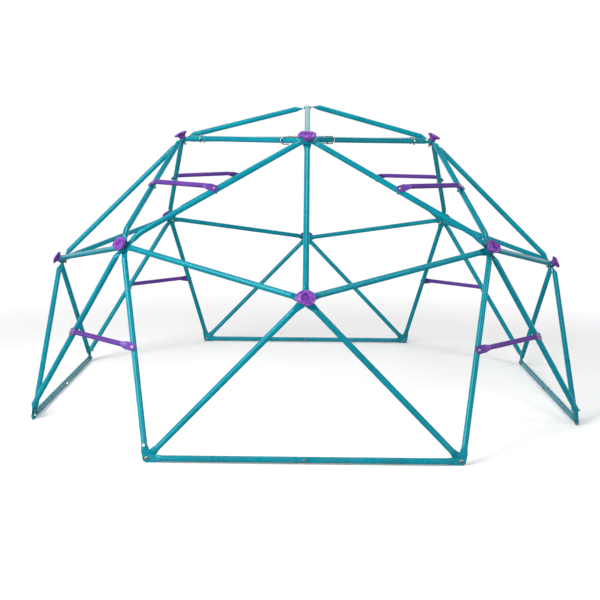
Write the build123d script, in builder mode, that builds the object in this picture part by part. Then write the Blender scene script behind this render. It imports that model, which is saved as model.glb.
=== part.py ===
from build123d import *
from math import cos, pi, radians, sin, sqrt
import os

# Dome climber: a geodesic half ball of steel tubes.  Every tube is squeezed flat at both ends, and the
# flats are stacked and bolted together at 21 nodes.  The front faces -Y, +Z is up, and the origin is on
# the ground at the dome's axis.  All sizes are in millimetres.

# --- driving dimensions -------------------------------------------------------------------------------
# Bolt centres.  Heights are measured above the ground bolts.
GROUND_BAR = 1250  # between the two bolts of a ground bar
GROUND_OFFSET = 1237  # from the dome's axis to the plane of a ground bar
SIDE_RADIUS, SIDE_HEIGHT = 1230, 638  # node over the middle of each ground bar
CORNER_RADIUS, CORNER_HEIGHT = 1102, 790  # node over each open corner
RING_RADIUS, RING_HEIGHT = 612, 1243  # four nodes of the top ring
APEX_HEIGHT = 1408

TUBE_R = 12.5  # every teal tube
WALL = 1.2
FLAT_THICKNESS = 3.0  # squeezed end, two walls and the gap between them
FLAT_HALF_WIDTH = 17.5  # also the radius of the round end about the bolt
FLAT_LENGTH = 32.0  # from the bolt to where the flat starts to open out
NODE_FLAT_LENGTH = 26.0  # the same at the nodes above the feet
APEX_FLAT_LENGTH = 22.0  # and at the top, where only four tubes meet
ROUND_FROM = 58.0  # from the bolt to where the tube is round again
SHORT_BEND = 44.0  # from the bolt to the bend
LONG_BEND = 92.0  # the same, at the lower end of an upper diagonal
LONG_BEND_RADIUS = 120.0

RUNG_R = 11.0  # purple rungs are a little thinner
M8_R, M8_HOLE_R = 4.0, 4.3
M6_R, M6_HOLE_R = 3.0, 3.3

FOOT_LIFT = FLAT_HALF_WIDTH  # the round ends of the feet stand on the ground

# Layer of each flat in its stack, from the inside of the dome outwards.  Tubes that leave a node side
# by side never lie in layers that touch, so that the flats can open out without meeting.
RING_STACK = ["ring_prev", "spine", "ring_next", "diagonal_prev", "diagonal_next", "crown"]
CORNER_STACK = ["belt_prev", "leg_next", "diagonal_next", "leg_prev", "belt_next", "diagonal_prev"]
SIDE_STACK = ["belt_prev", "leg_next", "spine", "leg_prev", "belt_next"]
APEX_STACK = ["left", "front", "back", "right"]
FOOT_STACK = ["side_leg", "corner_leg", "bar"]

# Climbing caps
CAP_HEIGHT = 34.0
CAP_STEM_R = 17.0
CAP_NECK_HEIGHT = 13.0  # underside of the mushroom's rim
CAP_RECESS_R = 13.0
CAP_RECESS_FLOOR = 15.0  # seat of the bolt's head
CAP_POCKET_R = 9.5
CAP_LEDGE_HEIGHT = 24.0  # seat of the plug
CAP_HALF_WIDTH, CAP_HALF_DEPTH = 40.0, 32.5  # along the level direction, and up the dome
CAP_LOBE = 0.05
CAP_RIM_POINTS = 40
CAP_SECTIONS = [(CAP_NECK_HEIGHT, 0.55), (20.0, 0.95), (27.0, 1.0), (CAP_HEIGHT, 0.78)]
PLUG_THICKNESS = 5.0
SPACER_R, SPACER_THICKNESS = 15.0, 2.0

# Fasteners
M8_FLATS, M8_HEAD_HEIGHT, M8_NUT_HEIGHT = 13.0, 5.3, 6.5
M6_FLATS, M6_NUT_HEIGHT = 10.0, 5.0
WASHER_R, WASHER_THICKNESS = 9.0, 1.6
NUT_CLEARANCE = 0.1  # between a bolt and the bore of its nut
BOLT_END = 1.5  # a bolt stands this far out of an open nut

# Ground bar splice
SEAM_OFFSET = 18.5  # mouth of the socket half, past the middle of the bar
SPIGOT_LENGTH = 60.0
SPIGOT_R = TUBE_R - WALL - 0.25
SWAGE_LENGTH = 6.0  # thick shoulder where the tube is drawn down to the spigot

ANCHOR_HEIGHT = 50.0  # anchor bolt, along the corner leg from the foot bolt
ANCHOR_GRIP = 2 * TUBE_R - 0.9  # the leg is still a little flatter than round here

# Ring hooks
WIRE_R = 2.5
HOOK_INSET = 92.0  # from the ring node towards the dome's axis
HOOK_LOOP_R = 16.25
HOOK_LOOP_CLEARANCE = 7.0  # from a tube's axis to the centre of the loop round it
HOOK_TAIL = 20.0

SIDES = {"front": -90, "right": 0, "back": 90, "left": 180}
CORNERS = {"front_right": -45, "back_right": 45, "back_left": 135, "front_left": -135}

os.makedirs("parts", exist_ok=True)


# --- node geometry ------------------------------------------------------------------------------------
def outward(angle):
    """Horizontal unit vector away from the dome's axis."""
    return Vector(cos(radians(angle)), sin(radians(angle)), 0)


def polar(radius, height, angle):
    return outward(angle) * radius + Vector(0, 0, height + FOOT_LIFT)


class Node:
    """A bolted joint: where its bolt is, which way the bolt points, and its stack of flats."""

    def __init__(self, point, normal, stack, flat_length=NODE_FLAT_LENGTH):
        self.point, self.normal, self.stack = point, normal.normalized(), stack
        self.flat_length = flat_length
        self.half_stack = len(stack) * FLAT_THICKNESS / 2

    def seat(self, role):
        """Middle of the flat that holds this role."""
        layer = self.stack.index(role) - (len(self.stack) - 1) / 2
        return self.point + self.normal * (layer * FLAT_THICKNESS)


def radial_node(radius, height, angle, stack):
    point = polar(radius, height, angle)
    return Node(point, point - Vector(0, 0, FOOT_LIFT), stack)


def foot_node(angle, hand):
    """Foot at one end of a ground bar: hand is -1 or 1, clockwise or anticlockwise from above."""
    along = outward(angle + 90) * (hand * GROUND_BAR / 2)
    point = outward(angle) * GROUND_OFFSET + along + Vector(0, 0, FOOT_LIFT)
    return Node(point, outward(angle), FOOT_STACK, FLAT_LENGTH)


apex = Node(polar(0, APEX_HEIGHT, 0), Vector(0, 0, 1), APEX_STACK, APEX_FLAT_LENGTH)
ring = {name: radial_node(RING_RADIUS, RING_HEIGHT, a, RING_STACK) for name, a in SIDES.items()}
side = {name: radial_node(SIDE_RADIUS, SIDE_HEIGHT, a, SIDE_STACK) for name, a in SIDES.items()}
corner = {n: radial_node(CORNER_RADIUS, CORNER_HEIGHT, a, CORNER_STACK) for n, a in CORNERS.items()}
foot = {(name, hand): foot_node(a, hand) for name, a in SIDES.items() for hand in (-1, 1)}


def next_name(names, name, turn=1):
    """The neighbour in a ring of names: anticlockwise, or clockwise with turn=-1."""
    order = list(names)
    return order[(order.index(name) + turn) % len(order)]


# --- tubes --------------------------------------------------------------------------------------------
class TubeEnd:
    """A flat, with its bolt hole at a point, aimed at the far end of its tube."""

    def __init__(self, bolt, normal, target, bend=SHORT_BEND, flat_length=FLAT_LENGTH):
        self.bolt, self.normal, self.bend, self.flat_length = bolt, normal, bend, flat_length
        chord = target - bolt
        self.aim = (chord - self.normal * chord.dot(self.normal)).normalized()
        self.bend_point = self.bolt + self.aim * bend
        self.width_dir = self.normal.cross(self.aim)


def tube_ends(node_a, role_a, node_b, role_b, bend_a=SHORT_BEND, bend_b=SHORT_BEND):
    seat_a, seat_b = node_a.seat(role_a), node_b.seat(role_b)
    end_a = TubeEnd(seat_a, node_a.normal, seat_b, bend_a, node_a.flat_length)
    end_b = TubeEnd(seat_b, node_b.normal, seat_a, bend_b, node_b.flat_length)
    return end_a, end_b


def section_plane(point, direction, width_dir):
    return Plane(origin=point, x_dir=width_dir, z_dir=direction)


def round_start(end, run_dir):
    """Where the tube is round again, and its direction there."""
    if end.bend > ROUND_FROM:
        return end.bolt + end.aim * ROUND_FROM, end.aim
    return end.bend_point + run_dir * (ROUND_FROM - end.bend), run_dir


def add_flat(end):
    """The drilled, round-nosed flat, and the part that opens out into the tube."""
    base = Plane(origin=end.bolt - end.normal * (FLAT_THICKNESS / 2), x_dir=end.aim, z_dir=end.normal)
    with BuildSketch(base) as outline:
        Circle(FLAT_HALF_WIDTH)
        with Locations((end.flat_length / 2, 0)):
            Rectangle(end.flat_length, 2 * FLAT_HALF_WIDTH)
    extrude(outline.sketch, amount=FLAT_THICKNESS)


def add_throat(end, run_dir, radius, inset=0.0, mode=Mode.ADD):
    """Transition from the flat to the round tube; with an inset it is the hollow inside."""
    flat_at = end.bolt + end.aim * (end.flat_length + inset)
    round_at, round_dir = round_start(end, run_dir)
    flat_half = FLAT_THICKNESS / 2 - 0.75 * inset
    with BuildSketch(section_plane(flat_at, end.aim, end.width_dir)) as flat_section:
        Ellipse(FLAT_HALF_WIDTH - inset, flat_half)
    with BuildSketch(section_plane(round_at, round_dir, end.width_dir)) as round_section:
        Circle(radius - inset)
    loft([flat_section.sketch, round_section.sketch], mode=mode)


def add_run(end_a, end_b, radius, mode=Mode.ADD):
    """The round length between two throats, with a swept bend at a long end."""
    run_dir = (end_b.bend_point - end_a.bend_point).normalized()
    start, start_dir = round_start(end_a, run_dir)
    finish, _ = round_start(end_b, -run_dir)
    corners = [e.bend_point for e in (end_a, end_b) if e.bend > ROUND_FROM]
    with BuildSketch(section_plane(start, start_dir, end_a.width_dir)) as section:
        Circle(radius)
    if corners:
        with BuildLine() as path:
            FilletPolyline(start, *corners, finish, radius=LONG_BEND_RADIUS)
        sweep(section.sketch, path=path.line, mode=mode)
    else:
        extrude(section.sketch, amount=(finish - start).length, mode=mode)


def drill(point, direction, radius, reach):
    """A straight hole, as deep each way from the point as its reach."""
    with BuildSketch(Plane(origin=point, z_dir=direction)) as section:
        Circle(radius)
    extrude(section.sketch, amount=reach, both=True, mode=Mode.SUBTRACT)


def add_tube(end_a, end_b, radius=TUBE_R, hole_r=M8_HOLE_R, cross_holes=()):
    """One hollow tube with two flats, added to the part that is being built."""
    run_dir = (end_b.bend_point - end_a.bend_point).normalized()
    for end, direction in ((end_a, run_dir), (end_b, -run_dir)):
        add_flat(end)
        add_throat(end, direction, radius)
    add_run(end_a, end_b, radius)
    for end, direction in ((end_a, run_dir), (end_b, -run_dir)):
        add_throat(end, direction, radius, inset=WALL, mode=Mode.SUBTRACT)
        drill(end.bolt, end.normal, hole_r, FLAT_THICKNESS)
    add_run(end_a, end_b, radius - WALL, mode=Mode.SUBTRACT)
    for point, direction in cross_holes:
        drill(point, direction, M6_HOLE_R, 2 * radius)



def add_bar_tube(end, finish, radius, mode=Mode.ADD):
    """Straight tube from a throat to a point on the bar's axis."""
    start, _ = round_start(end, end.aim)
    with BuildSketch(section_plane(start, end.aim, end.width_dir)) as section:
        Circle(radius)
    extrude(section.sketch, amount=(finish - start).dot(end.aim), mode=mode)


def save(part, name):
    part.label = name
    export_step(part, f"parts/{name}.step")


def tube_axis(ends):
    """A point on the straight run of a tube, half way along it, and the run's direction."""
    start, finish = ends[0].bend_point, ends[1].bend_point
    return (start + finish) * 0.5, (finish - start).normalized()


def face_normal(a, b, c):
    """Outward normal of the face between three nodes."""
    normal = (b.point - a.point).cross(c.point - a.point).normalized()
    return normal if normal.dot(a.point) > 0 else -normal


# --- which tube goes where ----------------------------------------------------------------------------
def diagonal(side_name, corner_name, role):
    """Ring node down to a corner node, with the long bend at the corner."""
    turn_at_ring = "diagonal_next" if role == "diagonal_prev" else "diagonal_prev"
    return tube_ends(ring[side_name], turn_at_ring, corner[corner_name], role, SHORT_BEND, LONG_BEND)


def corner_leg(side_name, hand, corner_name, role):
    return tube_ends(corner[corner_name], role, foot[side_name, hand], "corner_leg")


def corner_neighbours(corner_name):
    """The sides before and after a corner, anticlockwise from above."""
    before = next(s for s, a in SIDES.items() if (CORNERS[corner_name] - a) % 360 == 45)
    return before, next_name(SIDES, before)


def corner_after(side_name):
    return next(c for c in CORNERS if corner_neighbours(c)[0] == side_name)


def corner_before(side_name):
    return next(c for c in CORNERS if corner_neighbours(c)[1] == side_name)


def upper_pair(corner_name):
    before, after = corner_neighbours(corner_name)
    return [diagonal(before, corner_name, "diagonal_prev"), diagonal(after, corner_name, "diagonal_next")]


def lower_pair(corner_name):
    before, after = corner_neighbours(corner_name)
    legs = [corner_leg(before, 1, corner_name, "leg_prev"), corner_leg(after, -1, corner_name, "leg_next")]
    return legs


def rung_seats(corner_name, pair, top_nodes):
    """For each of two tubes, where a rung is bolted on: axis point halfway between the bolts, and outward
    direction."""
    seats = []
    for side_name, ends, top in zip(corner_neighbours(corner_name), pair, top_nodes):
        middle, run_dir = tube_axis(ends)
        middle += run_dir * run_dir.dot((ends[0].bolt + ends[1].bolt) / 2 - middle)
        normal = face_normal(corner[corner_name], top, side[side_name])
        normal = (normal - run_dir * normal.dot(run_dir)).normalized()
        seats.append((middle, normal))
    return seats


def upper_rung_seats(corner_name):
    tops = [ring[s] for s in corner_neighbours(corner_name)]
    return rung_seats(corner_name, upper_pair(corner_name), tops)


def lower_rung_seats(corner_name):
    before, after = corner_neighbours(corner_name)
    return rung_seats(corner_name, lower_pair(corner_name), [foot[before, 1], foot[after, -1]])


def anchor_axis(corner_name):
    """Ground anchor bolt through the corner leg on the clockwise foot of a side."""
    ends = lower_pair(corner_name)[1]
    run_dir = (ends[0].bend_point - ends[1].bend_point).normalized()
    point = ends[1].bend_point + run_dir * (ANCHOR_HEIGHT - ends[1].bend)
    direction = ends[1].normal
    return point, (direction - run_dir * direction.dot(run_dir)).normalized()


# --- tubes of the crown, ring and spines --------------------------------------------------------------
for name in SIDES:
    after = next_name(SIDES, name)
    with BuildPart() as crown_strut:
        add_tube(*tube_ends(apex, name, ring[name], "crown"))
    save(crown_strut.part, f"crown_strut_{name}")

    with BuildPart() as ring_strut:
        add_tube(*tube_ends(ring[name], "ring_next", ring[after], "ring_prev"))
    save(ring_strut.part, f"ring_strut_{corner_after(name)}")

    with BuildPart() as spine_strut:
        add_tube(*tube_ends(ring[name], "spine", side[name], "spine"))
    save(spine_strut.part, f"spine_strut_{name}")

# --- belt struts and side legs, a pair on each side ---------------------------------------------------
for name in SIDES:
    with BuildPart() as belt_struts:
        add_tube(*tube_ends(side[name], "belt_next", corner[corner_after(name)], "belt_prev"))
        add_tube(*tube_ends(side[name], "belt_prev", corner[corner_before(name)], "belt_next"))
    save(belt_struts.part, f"belt_struts_{name}")

    with BuildPart() as side_legs:
        add_tube(*tube_ends(side[name], "leg_next", foot[name, 1], "side_leg"))
        add_tube(*tube_ends(side[name], "leg_prev", foot[name, -1], "side_leg"))
    save(side_legs.part, f"side_legs_{name}")

# --- upper diagonals, corner legs and the rungs between them ------------------------------------------
for name in CORNERS:
    with BuildPart() as upper_diagonals:
        for ends, seat in zip(upper_pair(name), upper_rung_seats(name)):
            add_tube(*ends, cross_holes=[seat])
    save(upper_diagonals.part, f"upper_diagonals_{name}")

    with BuildPart() as corner_legs:
        for ends, seat in zip(lower_pair(name), lower_rung_seats(name)):
            add_tube(*ends, cross_holes=[seat])
        drill(*anchor_axis(name), M6_HOLE_R, 2 * TUBE_R)
    save(corner_legs.part, f"corner_legs_{name}")

    for level, seats in (("upper", upper_rung_seats(name)), ("lower", lower_rung_seats(name))):
        bolts = [middle + normal * (TUBE_R + FLAT_THICKNESS / 2) for middle, normal in seats]
        rung_ends = [TubeEnd(bolts[i], seats[i][1], bolts[1 - i]) for i in (0, 1)]
        with BuildPart() as rung:
            add_tube(*rung_ends, radius=RUNG_R, hole_r=M6_HOLE_R)
        save(rung.part, f"rung_{level}_{name}")

# --- ground bars, in two halves that plug together ----------------------------------------------------
for name, angle in SIDES.items():
    bar_middle = (foot[name, 1].seat("bar") + foot[name, -1].seat("bar")) * 0.5
    seam = bar_middle + outward(angle + 90) * SEAM_OFFSET
    socket_end = TubeEnd(foot[name, -1].seat("bar"), foot[name, -1].normal, bar_middle)
    spigot_end = TubeEnd(foot[name, 1].seat("bar"), foot[name, 1].normal, bar_middle)

    with BuildPart() as socket_half:
        add_flat(socket_end)
        add_throat(socket_end, socket_end.aim, TUBE_R)
        add_bar_tube(socket_end, seam, TUBE_R)
        add_throat(socket_end, socket_end.aim, TUBE_R, inset=WALL, mode=Mode.SUBTRACT)
        add_bar_tube(socket_end, seam, TUBE_R - WALL, mode=Mode.SUBTRACT)
        drill(socket_end.bolt, socket_end.normal, M8_HOLE_R, FLAT_THICKNESS)
        drill(bar_middle, socket_end.normal, M6_HOLE_R, 2 * TUBE_R)
    save(socket_half.part, f"ground_bar_socket_half_{name}")

    spigot_tip = seam + spigot_end.aim * SPIGOT_LENGTH
    with BuildPart() as spigot_half:
        add_flat(spigot_end)
        add_throat(spigot_end, spigot_end.aim, TUBE_R)
        add_bar_tube(spigot_end, seam, TUBE_R)
        add_bar_tube(spigot_end, spigot_tip, SPIGOT_R)
        add_throat(spigot_end, spigot_end.aim, TUBE_R, inset=WALL, mode=Mode.SUBTRACT)
        add_bar_tube(spigot_end, seam - spigot_end.aim * SWAGE_LENGTH, TUBE_R - WALL, mode=Mode.SUBTRACT)
        add_bar_tube(spigot_end, spigot_tip, SPIGOT_R - WALL, mode=Mode.SUBTRACT)
        drill(spigot_end.bolt, spigot_end.normal, M8_HOLE_R, FLAT_THICKNESS)
        drill(bar_middle, spigot_end.normal, M6_HOLE_R, 2 * TUBE_R)
    save(spigot_half.part, f"ground_bar_spigot_half_{name}")


# --- climbing caps: moulded holds on the bolts of every node except the apex --------------------------
def stack_face(node):
    """Frame on the outer face of a node's flats: z along the bolt, x level along the dome."""
    level = Vector(0, 0, 1).cross(node.normal)
    x_dir = level if level.length > 0.01 else Vector(1, 0, 0)
    return Plane(origin=node.point + node.normal * node.half_stack, x_dir=x_dir, z_dir=node.normal)


def lobed_outline(scale):
    """Rim of the cap: an oval with five shallow lobes, as points of a closed spline."""
    points = []
    for step in range(CAP_RIM_POINTS):
        turn = 2 * pi * step / CAP_RIM_POINTS
        oval = 1 / sqrt((cos(turn) / CAP_HALF_WIDTH) ** 2 + (sin(turn) / CAP_HALF_DEPTH) ** 2)
        lobes = 1 + CAP_LOBE * sin(5 * turn + 0.6) + 0.5 * CAP_LOBE * sin(3 * turn + 2.1)
        points.append((scale * oval * lobes * cos(turn), scale * oval * lobes * sin(turn)))
    return points


with BuildPart() as cap:
    for height, scale in CAP_SECTIONS:
        with BuildSketch(Plane.XY.offset(SPACER_THICKNESS + height)):
            with BuildLine():
                Spline(*lobed_outline(scale), periodic=True)
            make_face()
    loft()
    with BuildSketch(Plane.XY.offset(SPACER_THICKNESS)):
        Circle(CAP_STEM_R)
    extrude(amount=CAP_NECK_HEIGHT + 3, taper=-4)
    with BuildSketch(Plane.XY.offset(SPACER_THICKNESS + CAP_RECESS_FLOOR)):
        Circle(CAP_POCKET_R)
    extrude(amount=CAP_HEIGHT, mode=Mode.SUBTRACT)
    with BuildSketch(Plane.XY.offset(SPACER_THICKNESS + CAP_LEDGE_HEIGHT)):
        Circle(CAP_RECESS_R)
    extrude(amount=CAP_HEIGHT, mode=Mode.SUBTRACT)
    Hole(M8_HOLE_R, depth=2 * CAP_HEIGHT)

with BuildPart() as plug:
    with BuildSketch(Plane.XY.offset(SPACER_THICKNESS + CAP_LEDGE_HEIGHT)):
        Circle(CAP_RECESS_R - 0.2)
    extrude(amount=PLUG_THICKNESS)
    fillet(plug.edges().group_by(Axis.Z)[-1], 1.2)

with BuildPart() as spacer:
    with BuildSketch():
        Circle(SPACER_R)
        Circle(M8_HOLE_R, mode=Mode.SUBTRACT)
    extrude(amount=SPACER_THICKNESS)


def add_hex_nut(top, across_flats, height, bore_r):
    """Nut below the plane z = top, with its bore left open to the bolt."""
    with BuildSketch(Plane.XY.offset(top)) as outline:
        RegularPolygon(across_flats / 2, 6, major_radius=False)
        Circle(bore_r, mode=Mode.SUBTRACT)
    extrude(outline.sketch, amount=-height)


def cap_bolt(stack_height):
    """Hex bolt from the cap's pocket through the flats."""
    head_at = SPACER_THICKNESS + CAP_RECESS_FLOOR
    with BuildPart() as bolt:
        with BuildSketch(Plane.XY.offset(head_at)):
            RegularPolygon(M8_FLATS / 2, 6, major_radius=False)
        extrude(amount=M8_HEAD_HEIGHT)
        with BuildSketch(Plane.XY.offset(head_at)):
            Circle(M8_R)
        extrude(amount=-(head_at + stack_height + WASHER_THICKNESS + M8_NUT_HEIGHT))
    return bolt.part


def washer(top):
    with BuildPart() as disc:
        with BuildSketch(Plane.XY.offset(top)):
            Circle(WASHER_R)
            Circle(M8_HOLE_R, mode=Mode.SUBTRACT)
        extrude(amount=-WASHER_THICKNESS)
    return disc.part


def dome_nut(stack_height):
    """Cap nut on the inside of the dome, closed over the end of the bolt."""
    top = -stack_height - WASHER_THICKNESS
    with BuildPart() as nut:
        add_hex_nut(top, M8_FLATS, M8_NUT_HEIGHT + 0.5, M8_R + NUT_CLEARANCE)
        with BuildSketch(Plane.XY.offset(top - M8_NUT_HEIGHT - 0.5)) as shoulder:
            Circle(M8_FLATS / 2 - 0.4)
        extrude(shoulder.sketch, amount=-M8_FLATS / 2 + 1.5)
        fillet(nut.edges().filter_by(GeomType.CIRCLE).group_by(Axis.Z)[0], M8_FLATS / 2 - 2.2)
    return nut.part


def place(*batches):
    """Copies of pieces as separate solids: each batch is a piece and the planes that it goes on."""
    with BuildPart() as group:
        for piece, planes in batches:
            with Locations(*[plane.location for plane in planes]):
                add(piece)
    return group.part


six_layer = [stack_face(node) for node in [*ring.values(), *corner.values()]]
five_layer = [stack_face(node) for node in side.values()]
capped = six_layer + five_layer
six, five, four = [len(stack) * FLAT_THICKNESS for stack in (RING_STACK, SIDE_STACK, APEX_STACK)]
apex_face = [stack_face(apex)]

for level, nodes in (("ring", ring), ("side", side), ("corner", corner)):
    save(place((cap.part, [stack_face(node) for node in nodes.values()])), f"{level}_caps")
save(place((plug.part, capped)), "cap_plugs")
save(place((spacer.part, capped)), "cap_spacers")
save(place((cap_bolt(six), six_layer), (cap_bolt(five), five_layer)), "cap_bolts")
nuts = [(dome_nut(six), six_layer), (dome_nut(five), five_layer), (dome_nut(four), apex_face)]
save(place(*nuts), "dome_nuts")
washers = [(washer(-six), six_layer), (washer(-five), five_layer), (washer(-four), apex_face)]
save(place(*washers, (washer(WASHER_THICKNESS), apex_face)), "node_washers")


# --- bare bolts: button heads with a hexagon socket ---------------------------------------------------
def button_bolt(shank_r, head_r, head_height, socket_flats, length):
    """Head above z = 0, shank below it."""
    with BuildPart() as bolt:
        with BuildSketch():
            Circle(head_r)
        extrude(amount=head_height)
        fillet(bolt.edges().group_by(Axis.Z)[-1], 0.6 * head_height)
        with BuildSketch(Plane.XY.offset(head_height)):
            RegularPolygon(socket_flats / 2, 6, major_radius=False)
        extrude(amount=-0.6 * head_height, mode=Mode.SUBTRACT)
        with BuildSketch():
            Circle(shank_r)
        extrude(amount=-length)
    return bolt.part


def hex_nut(across_flats, height, bore_r, top):
    with BuildPart() as nut:
        add_hex_nut(top, across_flats, height, bore_r)
    return nut.part


M8_BUTTON = (M8_R, 8.0, 4.4, 5.0)
M6_BUTTON = (M6_R, 6.0, 3.3, 4.0)

# apex: button head on a washer
apex_bolt = button_bolt(*M8_BUTTON, four + 2 * WASHER_THICKNESS + M8_NUT_HEIGHT)
save(place((apex_bolt, [apex_face[0].offset(WASHER_THICKNESS)])), "apex_bolt")

# feet
foot_faces = [stack_face(node) for node in foot.values()]
three = len(FOOT_STACK) * FLAT_THICKNESS
foot_bolt = button_bolt(*M8_BUTTON, three + M8_NUT_HEIGHT + BOLT_END)
save(place((foot_bolt, foot_faces)), "foot_bolts")
save(place((hex_nut(M8_FLATS, M8_NUT_HEIGHT, M8_R + NUT_CLEARANCE, -three), foot_faces)), "foot_nuts")

# rungs: the bolt goes through the rung's flat and right through the tube under it
rung_faces = []
for name in CORNERS:
    for middle, normal in upper_rung_seats(name) + lower_rung_seats(name):
        rung_faces.append(Plane(origin=middle + normal * (TUBE_R + FLAT_THICKNESS), z_dir=normal))
rung_grip = FLAT_THICKNESS + 2 * TUBE_R
rung_bolt = button_bolt(*M6_BUTTON, rung_grip + M6_NUT_HEIGHT + BOLT_END)
save(place((rung_bolt, rung_faces)), "rung_bolts")

# the splice bolts and the ground anchor bolts go through one tube
splice_faces = []
for name in SIDES:
    bar_middle = (foot[name, 1].seat("bar") + foot[name, -1].seat("bar")) * 0.5
    direction = foot[name, 1].normal
    splice_faces.append(Plane(origin=bar_middle + direction * TUBE_R, z_dir=direction))
anchor_faces = []
for name in CORNERS:
    point, direction = anchor_axis(name)
    anchor_faces.append(Plane(origin=point + direction * (ANCHOR_GRIP / 2), z_dir=direction))
splice_bolt = button_bolt(*M6_BUTTON, 2 * TUBE_R + M6_NUT_HEIGHT + BOLT_END)
anchor_bolt = button_bolt(*M6_BUTTON, ANCHOR_GRIP + M6_NUT_HEIGHT + BOLT_END)
save(place((splice_bolt, splice_faces)), "splice_bolts")
save(place((anchor_bolt, anchor_faces)), "anchor_bolts")

grips = ((rung_grip, rung_faces), (2 * TUBE_R, splice_faces), (ANCHOR_GRIP, anchor_faces))
nuts = [(hex_nut(M6_FLATS, M6_NUT_HEIGHT, M6_R + NUT_CLEARANCE, -grip), faces) for grip, faces in grips]
save(place(*nuts), "m6_nuts")

# --- ring hooks: a bent wire over the two ring tubes at each ring node --------------------------------
with BuildPart() as ring_hooks:
    for name, angle in SIDES.items():
        after = next_name(SIDES, name)
        before = next_name(SIDES, name, -1)
        rests = []
        for neighbour, role, far_role in ((before, "ring_prev", "ring_next"), (after, "ring_next", "ring_prev")):
            middle, run_dir = tube_axis(tube_ends(ring[name], role, ring[neighbour], far_role))
            inset = (ring[name].point - middle).dot(outward(angle))
            rests.append(middle - run_dir * ((inset - HOOK_INSET) / -run_dir.dot(outward(angle))))
        along = (rests[1] - rests[0]).normalized()
        up = Vector(0, 0, 1)
        loop_x = (rests[1] - rests[0]).length / 2 + HOOK_LOOP_CLEARANCE
        centre = (rests[0] + rests[1]) * 0.5 + up * (TUBE_R + WIRE_R + 0.1)
        hook_plane = Plane(origin=centre, x_dir=along, z_dir=along.cross(up))
        low = -2 * HOOK_LOOP_R
        with BuildLine(hook_plane) as wire:
            Line((-loop_x + HOOK_TAIL, low), (-loop_x, low))
            ThreePointArc((-loop_x, low), (-loop_x - HOOK_LOOP_R, low / 2), (-loop_x, 0))
            Line((-loop_x, 0), (loop_x, 0))
            ThreePointArc((loop_x, 0), (loop_x + HOOK_LOOP_R, low / 2), (loop_x, low))
            Line((loop_x, low), (loop_x - HOOK_TAIL, low))
        with BuildSketch(Plane(origin=wire.line @ 0, z_dir=wire.line % 0)) as wire_section:
            Circle(WIRE_R)
        sweep(wire_section.sketch, path=wire.line)
save(ring_hooks.part, "ring_hooks")
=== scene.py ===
from math import cos, pi, radians, sin, sqrt

import bpy
from mathutils import Matrix, Vector, noise


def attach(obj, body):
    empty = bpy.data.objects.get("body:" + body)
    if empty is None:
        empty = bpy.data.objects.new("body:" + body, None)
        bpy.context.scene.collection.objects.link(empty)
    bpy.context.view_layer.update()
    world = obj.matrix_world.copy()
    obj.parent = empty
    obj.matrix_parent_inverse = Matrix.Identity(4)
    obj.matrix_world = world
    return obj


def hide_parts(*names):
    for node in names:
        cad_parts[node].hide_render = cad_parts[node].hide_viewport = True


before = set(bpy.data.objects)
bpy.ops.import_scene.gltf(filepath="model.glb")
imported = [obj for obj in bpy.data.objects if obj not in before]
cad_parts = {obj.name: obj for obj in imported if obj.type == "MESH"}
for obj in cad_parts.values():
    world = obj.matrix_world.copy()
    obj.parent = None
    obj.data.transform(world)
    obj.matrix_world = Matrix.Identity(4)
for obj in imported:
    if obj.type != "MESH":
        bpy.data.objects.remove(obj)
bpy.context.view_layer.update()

# --- driving dimensions, in metres: the same as the frame's -------------------------------------------
FOOT_LIFT = 0.0175  # height of the ground bolts
GROUND_HALF_BAR = 0.625
SEAM_OFFSET = 0.0185  # joint of the two tubes of a ground bar, past its middle
NODES = {  # radius and height above the ground bolts, first angle, flats in the stack
    "ring_caps": (0.612, 1.243, 0, 6),
    "side_caps": (1.230, 0.638, 0, 5),
    "corner_caps": (1.102, 0.790, 45, 6),
}
FLAT_THICKNESS = 0.003
SPACER_THICKNESS = 0.002

# climbing caps
BORE_R = 0.0043
POCKET_R, POCKET_FLOOR = 0.0095, 0.015  # seat of the bolt's head
RECESS_R, LEDGE_HEIGHT = 0.013, 0.024  # seat of the plug
STEM_R, CAP_HEIGHT = 0.017, 0.034
UNDERSIDE_HEIGHT = 0.0215  # of the rim, before its waves
EDGE_R, EDGE_LIFT, EDGE_HALF_HEIGHT = 0.0035, 0.0036, 0.0040  # the rim's rolled edge
RIDGE_WIDTH, RIDGE_DEPTH = 0.0048, 0.0036  # rounded ridge round the recess
HALF_WIDTH, HALF_DEPTH = 0.040, 0.0325  # of the rim's oval, along the level direction and up the dome
RIM_SIZE = 0.96  # of the oval, before its lobes
RIM_SWELLS = [  # lobes and bites: middle in degrees, share of the oval's radius, sharpness
    (188, 0.11, 7),
    (290, 0.13, 6),
    (92, 0.05, 5),
    (12, 0.05, 8),
    (238, -0.17, 14),
    (142, -0.05, 12),
]
AROUND = 120  # sections of a cap
SCULPT_R, SCULPT_FROM = STEM_R + 0.002, 0.006  # further out and higher up than this, a cap is uneven
SCULPT_SIZE = 0.985  # keeps the uneven rim inside the cap's own size


# --- node material helpers ----------------------------------------------------------------------------
def linear(red, green, blue):
    """Scene-linear colour of a display colour in 0..255."""
    channels = []
    for value in (red, green, blue):
        c = value / 255
        channels.append(c / 12.92 if c <= 0.04045 else ((c + 0.055) / 1.055) ** 2.4)
    return (*channels, 1.0)


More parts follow.
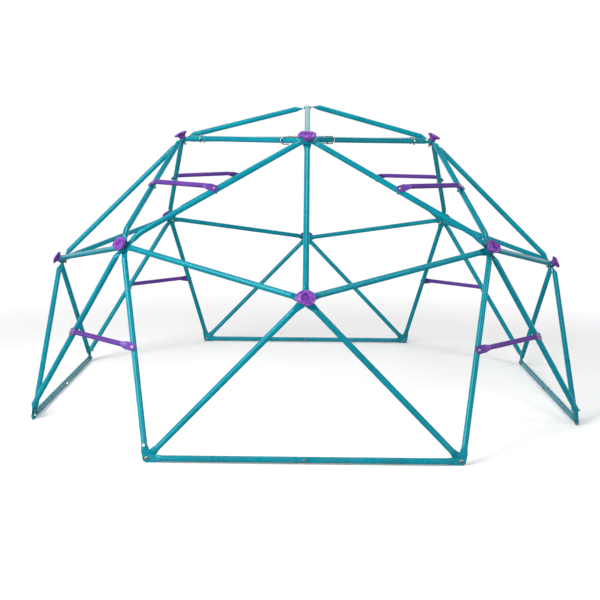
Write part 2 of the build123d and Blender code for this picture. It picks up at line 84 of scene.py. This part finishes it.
class Shader:
    """A Principled material, with short ways to add the nodes that feed it."""

    def __init__(self, name):
        self.material = bpy.data.materials.new(name)
        self.material.use_nodes = True
        self.nodes = self.material.node_tree.nodes
        self.links = self.material.node_tree.links
        self.bsdf = self.nodes["Principled BSDF"]
        self.position = self.nodes.new("ShaderNodeTexCoord").outputs["Object"]

    def set(self, **values):
        for name, value in values.items():
            self.bsdf.inputs[name.replace("_", " ")].default_value = value

    def feed(self, socket, source):
        """Link another node's output to a socket, or set the socket to a constant."""
        if hasattr(source, "is_linked"):
            self.links.new(source, socket)
        else:
            socket.default_value = source

    def noise(self, scale, detail=3.0, roughness=0.55, distortion=0.0, vector=None):
        node = self.nodes.new("ShaderNodeTexNoise")
        node.inputs["Scale"].default_value = scale
        node.inputs["Detail"].default_value = detail
        node.inputs["Roughness"].default_value = roughness
        node.inputs["Distortion"].default_value = distortion
        self.links.new(vector or self.position, node.inputs["Vector"])
        return node.outputs["Fac"]

    def stretched(self, x, y, z):
        """Position scaled along each axis, for grain that is longer one way."""
        node = self.nodes.new("ShaderNodeMapping")
        node.inputs["Scale"].default_value = (x, y, z)
        self.links.new(self.position, node.inputs["Vector"])
        return node.outputs["Vector"]

    def ramp(self, source, low, high, start=0.0, end=1.0):
        """Straight ramp from start, where the source is low, to end, where it is high."""
        node = self.nodes.new("ShaderNodeMapRange")
        for name, value in (("From Min", low), ("From Max", high), ("To Min", start), ("To Max", end)):
            node.inputs[name].default_value = value
        self.links.new(source, node.inputs["Value"])
        return node.outputs["Result"]

    def math(self, operation, a, b=0.0):
        node = self.nodes.new("ShaderNodeMath")
        node.operation = operation
        self.feed(node.inputs[0], a)
        self.feed(node.inputs[1], b)
        return node.outputs[0]

    def mix(self, factor, a, b):
        node = self.nodes.new("ShaderNodeMix")
        node.data_type = "RGBA"
        self.feed(node.inputs["Factor"], factor)
        colour_a, colour_b, colour_result = node.inputs[6], node.inputs[7], node.outputs[2]
        self.feed(colour_a, a)
        self.feed(colour_b, b)
        return colour_result

    def split(self):
        """The x, y and z of the position."""
        node = self.nodes.new("ShaderNodeSeparateXYZ")
        self.links.new(self.position, node.inputs[0])
        return node.outputs[0], node.outputs[1], node.outputs[2]

    def bump(self, height, strength, distance, under=None):
        node = self.nodes.new("ShaderNodeBump")
        node.inputs["Strength"].default_value = strength
        node.inputs["Distance"].default_value = distance
        self.links.new(height, node.inputs["Height"])
        if under is not None:
            self.links.new(under, node.inputs["Normal"])
        return node.outputs["Normal"]

    def finish(self, colour, roughness, normal):
        self.links.new(colour, self.bsdf.inputs["Base Color"])
        self.links.new(roughness, self.bsdf.inputs["Roughness"])
        self.links.new(normal, self.bsdf.inputs["Normal"])
        return self.material


def powder_coat(name, body, deep, pale, gloss, dust, sheen, seam=None):
    """Sprayed coat on tube: faint clouding, orange peel, pale handling scuffs, and dust near the ground."""
    s = Shader(name)
    s.set(Specular_IOR_Level=0.36, Specular_Tint=sheen, Coat_Weight=0.08, Coat_Roughness=0.1)
    clouding = s.ramp(s.noise(7.0, 4.0), 0.35, 0.65)
    colour = s.mix(clouding, deep, body)
    scuff_field = s.noise(95.0, 6.0, 0.68, 0.4)
    scuff_patch = s.ramp(s.noise(5.5, 2.0), 0.52, 0.66)
    scuffs = s.math("MULTIPLY", s.ramp(scuff_field, 0.66, 0.74), scuff_patch)
    colour = s.mix(s.math("MULTIPLY", scuffs, 0.22), colour, pale)
    height = s.split()[2]
    low = s.math("MULTIPLY", s.ramp(height, 0.16, 0.0), s.ramp(s.noise(42.0, 5.0, 0.7), 0.42, 0.72))
    colour = s.mix(s.math("MULTIPLY", low, 0.09), colour, dust)
    if seam is not None:  # dirt in the joint of the two tubes, this far past the middle of each bar
        x, y, _ = s.split()
        on_x_side = s.math("GREATER_THAN", s.math("ABSOLUTE", x), s.math("ABSOLUTE", y))
        on_y_side = s.math("SUBTRACT", 1.0, on_x_side)
        along_x_side = s.math("MULTIPLY", s.math("MULTIPLY", y, s.math("SIGN", x)), on_x_side)
        along_y_side = s.math("MULTIPLY", s.math("MULTIPLY", x, s.math("SIGN", y)), on_y_side)
        along = s.math("SUBTRACT", along_x_side, along_y_side)
        gap = s.math("ABSOLUTE", s.math("SUBTRACT", along, seam))
        ragged = s.math("ADD", gap, s.ramp(s.noise(300.0, 3.0), 0.3, 0.7, -0.0003, 0.0003))
        colour = s.mix(s.ramp(ragged, 0.0018, 0.0008, 0.0, 0.75), colour, linear(8, 50, 58))
    rough = s.ramp(s.noise(26.0, 4.0), 0.3, 0.7, gloss, gloss + 0.09)
    rough = s.math("ADD", rough, s.math("MULTIPLY", scuffs, 0.2))
    rough = s.math("ADD", rough, s.math("MULTIPLY", low, 0.14))
    return s.finish(colour, rough, s.bump(s.noise(420.0, 2.0), 0.03, 0.0003))


def moulded_hold(name, body, dark, light, rough_from, rough_to, streak):
    """Swirled plastic: two shades folded into each other, with paler veins and specks at random, and a fine
    grain.
    """
    s = Shader(name)
    s.set(Specular_IOR_Level=0.34, Specular_Tint=HOLD_SHEEN, Coat_Weight=0.06, Coat_Roughness=0.25)
    swirl = s.noise(34.0, 5.0, 0.6, 2.4, s.stretched(1.0, 1.0, 1.7))
    colour = s.mix(s.ramp(swirl, 0.34, 0.62), dark, body)
    veins = s.noise(58.0, 4.0, 0.62, 3.2)
    colour = s.mix(s.math("MULTIPLY", s.ramp(veins, 0.54, 0.70), streak), colour, light)
    specks = s.ramp(s.noise(620.0, 3.0, 0.6), 0.60, 0.72)
    colour = s.mix(s.math("MULTIPLY", specks, 0.22), colour, light)
    rough = s.ramp(s.noise(120.0, 4.0), 0.3, 0.7, rough_from, rough_to)
    grain = s.bump(s.noise(310.0, 4.0, 0.6), 0.22, 0.0009)
    normal = s.bump(s.noise(70.0, 3.0), 0.18, 0.0022, grain)
    return s.finish(colour, rough, normal)


def plated_steel(name, bright, dull, rough_from, rough_to, socket=None):
    """Zinc plate: passivation clouding and fine scratches. With a socket, the hexagon sockets of ground
    bolts that far along their bars, in heads of that radius, hold a little rust."""
    s = Shader(name)
    s.set(Metallic=1.0, Specular_IOR_Level=0.5)
    cloud = s.ramp(s.noise(160.0, 4.0, 0.6, 0.6), 0.32, 0.68)
    colour = s.mix(cloud, dull, bright)
    rough = s.ramp(s.noise(420.0, 4.0, 0.6), 0.3, 0.7, rough_from, rough_to)
    if socket is not None:
        along, head_r = socket
        x, y, z = s.split()
        short = s.math("MINIMUM", s.math("ABSOLUTE", x), s.math("ABSOLUTE", y))
        across = s.math("SUBTRACT", short, along)
        up = s.math("SUBTRACT", z, FOOT_LIFT)
        reach = s.math("SQRT", s.math("ADD", s.math("MULTIPLY", across, across), s.math("MULTIPLY", up, up)))
        ragged = s.math("ADD", reach, s.ramp(s.noise(700.0, 3.0), 0.3, 0.7, -0.0004, 0.0004))
        rust = s.ramp(ragged, 0.54 * head_r, 0.44 * head_r)
        colour = s.mix(rust, colour, linear(142, 88, 52))
        rough = s.math("ADD", rough, s.math("MULTIPLY", rust, 0.25))
    scratches = s.bump(s.noise(900.0, 3.0, 0.5, 0.0, s.stretched(1.0, 1.0, 9.0)), 0.10, 0.0002)
    return s.finish(colour, rough, scratches)


def dark_rubber(name):
    """Moulded rubber: near black, with paler bloom and a fine matt grain. On the cap spacers the near black
    is partly real rubber and partly painted shade, the shadow each cap casts on its stacked flats.
    """
    s = Shader(name)
    s.set(Specular_IOR_Level=0.3)
    colour = s.mix(s.ramp(s.noise(90.0, 4.0), 0.35, 0.7), linear(20, 20, 23), linear(44, 43, 46))
    rough = s.ramp(s.noise(240.0, 3.0), 0.3, 0.7, 0.62, 0.86)
    return s.finish(colour, rough, s.bump(s.noise(800.0, 3.0), 0.25, 0.0004))


HOLD_SHEEN = (0.85, 0.6, 1.0, 1)
TEAL_COAT = {
    "body": linear(0, 119, 135),
    "deep": linear(0, 107, 123),
    "pale": linear(100, 165, 175),
    "gloss": 0.22,
    "dust": linear(140, 150, 145),
    "sheen": (0.30, 0.95, 1.0, 1),
}
TEAL = powder_coat("teal_powder_coat", **TEAL_COAT)
TEAL_BARS = powder_coat("teal_powder_coat_bars", **TEAL_COAT, seam=SEAM_OFFSET)
VIOLET = powder_coat(
    "violet_powder_coat",
    body=linear(88, 52, 134),
    deep=linear(73, 40, 119),
    pale=linear(140, 118, 178),
    gloss=0.30,
    dust=linear(150, 145, 155),
    sheen=(0.8, 0.6, 1.0, 1),
)
HOLD = moulded_hold(
    "marbled_hold_plastic", linear(116, 56, 152), linear(70, 26, 116), linear(176, 134, 204), 0.34, 0.52, 0.66
)
PLUG = moulded_hold(
    "plug_plastic", linear(96, 38, 132), linear(66, 25, 110), linear(138, 88, 166), 0.34, 0.50, 0.35
)
# near-black cap spacers: partly a real rubber spacer, partly painted shade standing for each cap's shadow on
# the flats
SPACER_RUBBER_AND_SHADE = dark_rubber("spacer_rubber_and_painted_shade")
FOOT_SOCKET = (GROUND_HALF_BAR, 0.008)  # distance from the middle of the bar, and radius of the head
SPLICE_SOCKET = (0.0, 0.006)
ZINC = plated_steel("zinc_plate", (0.58, 0.57, 0.55, 1), (0.36, 0.35, 0.33, 1), 0.22, 0.42)
FOOT_ZINC = plated_steel(
    "zinc_plate_foot_bolts", (0.62, 0.60, 0.56, 1), (0.40, 0.38, 0.35, 1), 0.24, 0.44, FOOT_SOCKET
)
SPLICE_ZINC = plated_steel(
    "zinc_plate_splice_bolts", (0.60, 0.57, 0.53, 1), (0.40, 0.37, 0.34, 1), 0.24, 0.44, SPLICE_SOCKET
)
WIRE = plated_steel("hook_wire_steel", (0.60, 0.57, 0.52, 1), (0.34, 0.31, 0.28, 1), 0.20, 0.38)


# --- the frame keeps its meshes: it gets finishes -----------------------------------------------------
def material_of(node):
    if node.startswith("rung_") and node != "rung_bolts":
        return VIOLET
    if node.startswith("ground_bar"):
        return TEAL_BARS
    special = {
        "cap_plugs": PLUG,
        "cap_spacers": SPACER_RUBBER_AND_SHADE,
        "foot_bolts": FOOT_ZINC,
        "splice_bolts": SPLICE_ZINC,
        "ring_hooks": WIRE,
    }
    if node in special:
        return special[node]
    if any(word in node for word in ("bolt", "nut", "washer")):
        return ZINC
    return TEAL


for name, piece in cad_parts.items():
    piece.data.materials.clear()
    piece.data.materials.append(material_of(name))


# --- climbing caps ------------------------------------------------------------------------------------
def rim_radius(turn):
    """Reach of the cap's rim: an oval with uneven lobes and a bite between two of them."""
    oval = 1 / sqrt((cos(turn) / HALF_WIDTH) ** 2 + (sin(turn) / HALF_DEPTH) ** 2)
    shape = RIM_SIZE
    for degrees, swell, sharpness in RIM_SWELLS:
        shape += swell * (0.5 + 0.5 * cos(turn - radians(degrees))) ** sharpness
    return oval * shape


def section(turn):
    """Closed outline of the cap on one side, from the bore's foot round the outside and back, as
    (radius, height above the base)."""
    rim = rim_radius(turn)
    wave = 0.0016 * sin(3 * turn + 0.9) + 0.0011 * sin(5 * turn + 2.2)
    under = UNDERSIDE_HEIGHT + wave
    mouth = RECESS_R + 0.0012 + 0.0011 * cos(3 * (turn - radians(95)))
    ridge = mouth + RIDGE_WIDTH
    top = CAP_HEIGHT - 0.0022
    foot, step_height = STEM_R - 0.0002, 0.0018
    points = [(BORE_R, 0.0), (STEM_R - 0.0012, 0.0), (foot, 0.0006), (foot, step_height)]
    for step in range(1, 9):  # trumpet-shaped underside
        share = step / 9
        radius = STEM_R - 0.0006 + (rim - EDGE_R - STEM_R) * share**2.1
        points.append((radius, step_height + (under - step_height) * share**0.62))
    for step in range(8):  # rolled edge
        a = radians(-80 + 150 * step / 7)
        points.append((rim - EDGE_R + EDGE_R * cos(a), under + EDGE_LIFT + EDGE_HALF_HEIGHT * sin(a)))
    edge, edge_height = points[-1]
    for step in range(1, 9):  # slightly dished top, rising to a ridge round the recess
        share = step / 9
        ease = share * share * (3 - 2 * share)
        dish = -0.0011 * sin(pi * share)
        points.append((edge + (ridge - edge) * share, edge_height + (top - edge_height) * ease + dish))
    for step in range(6):  # rounded ridge into the recess
        a = radians(90 + 90 * step / 5)
        points.append((ridge + RIDGE_WIDTH * cos(a), top - RIDGE_DEPTH + RIDGE_DEPTH * sin(a)))
    points += [(RECESS_R, LEDGE_HEIGHT + 0.0012), (RECESS_R, LEDGE_HEIGHT), (POCKET_R, LEDGE_HEIGHT)]
    points += [(POCKET_R, POCKET_FLOOR), (BORE_R, POCKET_FLOOR)]
    return points


def sculpt(place):
    """Moves a point of the cap a little up or down and in or out, as if shaped by hand."""
    place.z += 0.0007 * noise.noise(place * 95)
    swell = 1 + 0.018 * noise.noise(place * 60 + Vector((7, 3, 1)))
    place.x *= swell * SCULPT_SIZE
    place.y *= swell * SCULPT_SIZE


def cap_mesh():
    """One cap, standing on its base at the origin with the bolt along z."""
    turns = [2 * pi * k / AROUND for k in range(AROUND)]
    sections = [section(turn) for turn in turns]
    count = len(sections[0])
    vertices = []
    for turn, outline in zip(turns, sections):
        for radius, height in outline:
            place = Vector((radius * cos(turn), radius * sin(turn), height))
            if radius > SCULPT_R and height > SCULPT_FROM:
                sculpt(place)
            vertices.append(place)
    faces = []
    for k in range(AROUND):
        a, b = k * count, (k + 1) % AROUND * count
        for j in range(count):
            after = (j + 1) % count
            faces.append((a + j, b + j, b + after, a + after))
    mesh = bpy.data.meshes.new("climbing_cap")
    mesh.from_pydata(vertices, [], faces)
    mesh.validate()
    mesh.shade_smooth()
    mesh.set_sharp_from_angle(angle=radians(42))
    mesh.materials.append(HOLD)
    return mesh


def stack_face(radius, height, angle, flats):
    """Placement on the outer face of a node's stack: z along the bolt, x level."""
    out = Vector((cos(radians(angle)), sin(radians(angle)), 0))
    bolt = out * radius + Vector((0, 0, height))
    normal = bolt.normalized()
    level = Vector((0, 0, 1)).cross(normal).normalized()
    origin = bolt + Vector((0, 0, FOOT_LIFT)) + normal * (flats * FLAT_THICKNESS / 2)
    turn = Matrix((level, normal.cross(level), normal)).transposed().to_4x4()
    return Matrix.Translation(origin) @ turn


cap = cap_mesh()
for level, (radius, height, first, flats) in NODES.items():
    for quarter in range(4):
        angle = first + 90 * quarter
        place = stack_face(radius, height, angle, flats) @ Matrix.Translation((0, 0, SPACER_THICKNESS))
        mesh = cap.copy()
        mesh.transform(place)
        piece = bpy.data.objects.new(f"{level.removesuffix('_caps')}_climbing_cap_{quarter + 1}", mesh)
        bpy.context.scene.collection.objects.link(piece)
        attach(piece, "root")
    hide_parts(level)


# --- floor and light ----------------------------------------------------------------------------------
FLOOR_REACH = 60
SOFTBOXES = [  # name, place, point it faces, width and height, watts
    ("left_window", (-2.8, -3.2, 3.5), (0, 0, 0.6), (2.6, 2.6), 260),
    ("right_window", (3.2, -2.6, 3.6), (0, 0, 0.6), (1.6, 1.6), 62),
    ("overhead_softbox", (0.0, -0.4, 4.8), (0, 0, 0.6), (2.4, 1.4), 70),
    ("low_left_softbox", (-4.0, -5.0, 1.1), (0, 0, 0.7), (2.2, 2.0), 95),
    ("low_right_softbox", (4.6, -4.4, 1.0), (0, 0, 0.7), (1.4, 1.8), 40),
    ("back_softbox", (0.0, 4.6, 4.0), (0, 0, 0.8), (5.0, 2.4), 55),
]
WHITE_AT, WHITE_TO, DIM_FROM = 0.05, 0.10, 0.32  # heights on a unit sphere: middle of the white band, and
ROOM_GLOW, ROOM_DIM = 1.0, 0.10  # how far from it the room is white and dim, and its strength there


def studio_floor():
    """White floor under the dome, which glows: faintly near the dome, painted light that brightens it, and
    fully white further out, painted light in place of a lit studio cove.
    """
    s = Shader("studio_floor")
    s.set(Specular_IOR_Level=0.1)
    colour = s.mix(s.ramp(s.noise(1.3, 3.0), 0.3, 0.7), (0.955, 0.955, 0.955, 1), (0.97, 0.97, 0.97, 1))
    rough = s.ramp(s.noise(4.0, 2.0), 0.3, 0.7, 0.80, 0.92)
    x, y, _ = s.split()
    reach = s.math("SQRT", s.math("ADD", s.math("MULTIPLY", x, x), s.math("MULTIPLY", y, y)))
    floor_glow = s.ramp(reach, 1.6, 3.4, 0.07, 1.0)  # painted light: the floor glows faintly near the dome and fully white further out, where its own colour gives way to the glow
    colour = s.mix(floor_glow, colour, (0.0, 0.0, 0.0, 1))
    s.set(Emission_Color=(1.0, 1.0, 1.0, 1))
    s.links.new(floor_glow, s.bsdf.inputs["Emission Strength"])
    material = s.finish(colour, rough, s.bump(s.noise(60.0, 3.0), 0.02, 0.0005))
    mesh = bpy.data.meshes.new("studio_floor")
    corners = [(x, y, 0) for x, y in ((-1, -1), (1, -1), (1, 1), (-1, 1))]
    mesh.from_pydata([Vector(corner) * FLOOR_REACH for corner in corners], [], [(0, 1, 2, 3)])
    mesh.materials.append(material)
    floor = bpy.data.objects.new("studio_floor", mesh)
    floor.visible_glossy = False  # the tubes mirror the dim room, not the white floor
    bpy.context.scene.collection.objects.link(floor)


def area_light(name, location, target, size, power):
    data = bpy.data.lights.new(name, "AREA")
    data.shape, data.size, data.size_y, data.energy = "RECTANGLE", size[0], size[1], power
    light = bpy.data.objects.new(name, data)
    light.location = location
    light.rotation_mode = "QUATERNION"
    light.rotation_quaternion = (Vector(target) - Vector(location)).to_track_quat("-Z", "Y")
    bpy.context.scene.collection.objects.link(light)


def studio_room():
    """World that is white at the horizon, and dimmer overhead and below."""
    world = bpy.data.worlds.new("studio")
    world.use_nodes = True
    nodes, links = world.node_tree.nodes, world.node_tree.links
    direction, split = nodes.new("ShaderNodeTexCoord"), nodes.new("ShaderNodeSeparateXYZ")
    above, away = nodes.new("ShaderNodeMath"), nodes.new("ShaderNodeMath")
    fade = nodes.new("ShaderNodeMapRange")
    above.operation, away.operation = "SUBTRACT", "ABSOLUTE"
    above.inputs[1].default_value = WHITE_AT
    fade.inputs["From Min"].default_value, fade.inputs["From Max"].default_value = WHITE_TO, DIM_FROM
    fade.inputs["To Min"].default_value, fade.inputs["To Max"].default_value = ROOM_GLOW, ROOM_DIM
    links.new(direction.outputs["Generated"], split.inputs[0])
    links.new(split.outputs["Z"], above.inputs[0])
    links.new(above.outputs[0], away.inputs[0])
    links.new(away.outputs[0], fade.inputs["Value"])
    links.new(fade.outputs["Result"], nodes["Background"].inputs["Strength"])
    nodes["Background"].inputs["Color"].default_value = (1.0, 1.0, 1.0, 1)
    bpy.context.scene.world = world


studio_floor()
studio_room()
for softbox in SOFTBOXES:
    area_light(*softbox)
bpy.context.scene.view_settings.view_transform = "Standard"
bpy.context.scene.view_settings.look = "None"

# --- camera -------------------------------------------------------------------------------------------
CAMERA_PLACE = (0.0024, -5.204, 1.2833)
YAW, PITCH, ROLL = radians(-0.349), radians(8.947), radians(0.496)  # pitch is downwards
FOCAL_LENGTH, SENSOR_WIDTH = 62.2, 36.0  # mm

camera_data = bpy.data.cameras.new("camera")
camera_data.lens, camera_data.sensor_width = FOCAL_LENGTH, SENSOR_WIDTH
camera_data.clip_start, camera_data.clip_end = 0.05, 200
camera = bpy.data.objects.new("camera", camera_data)
camera.location = CAMERA_PLACE
ahead = Vector((sin(YAW) * cos(PITCH), cos(YAW) * cos(PITCH), -sin(PITCH)))
level_right = Vector((cos(YAW), -sin(YAW), 0))
level_up = level_right.cross(ahead)
right = level_right * cos(ROLL) + level_up * sin(ROLL)
up = level_up * cos(ROLL) - level_right * sin(ROLL)
camera.rotation_mode = "QUATERNION"
camera.rotation_quaternion = Matrix((right, up, -ahead)).transposed().to_quaternion()
bpy.context.scene.collection.objects.link(camera)
bpy.context.scene.camera = camera
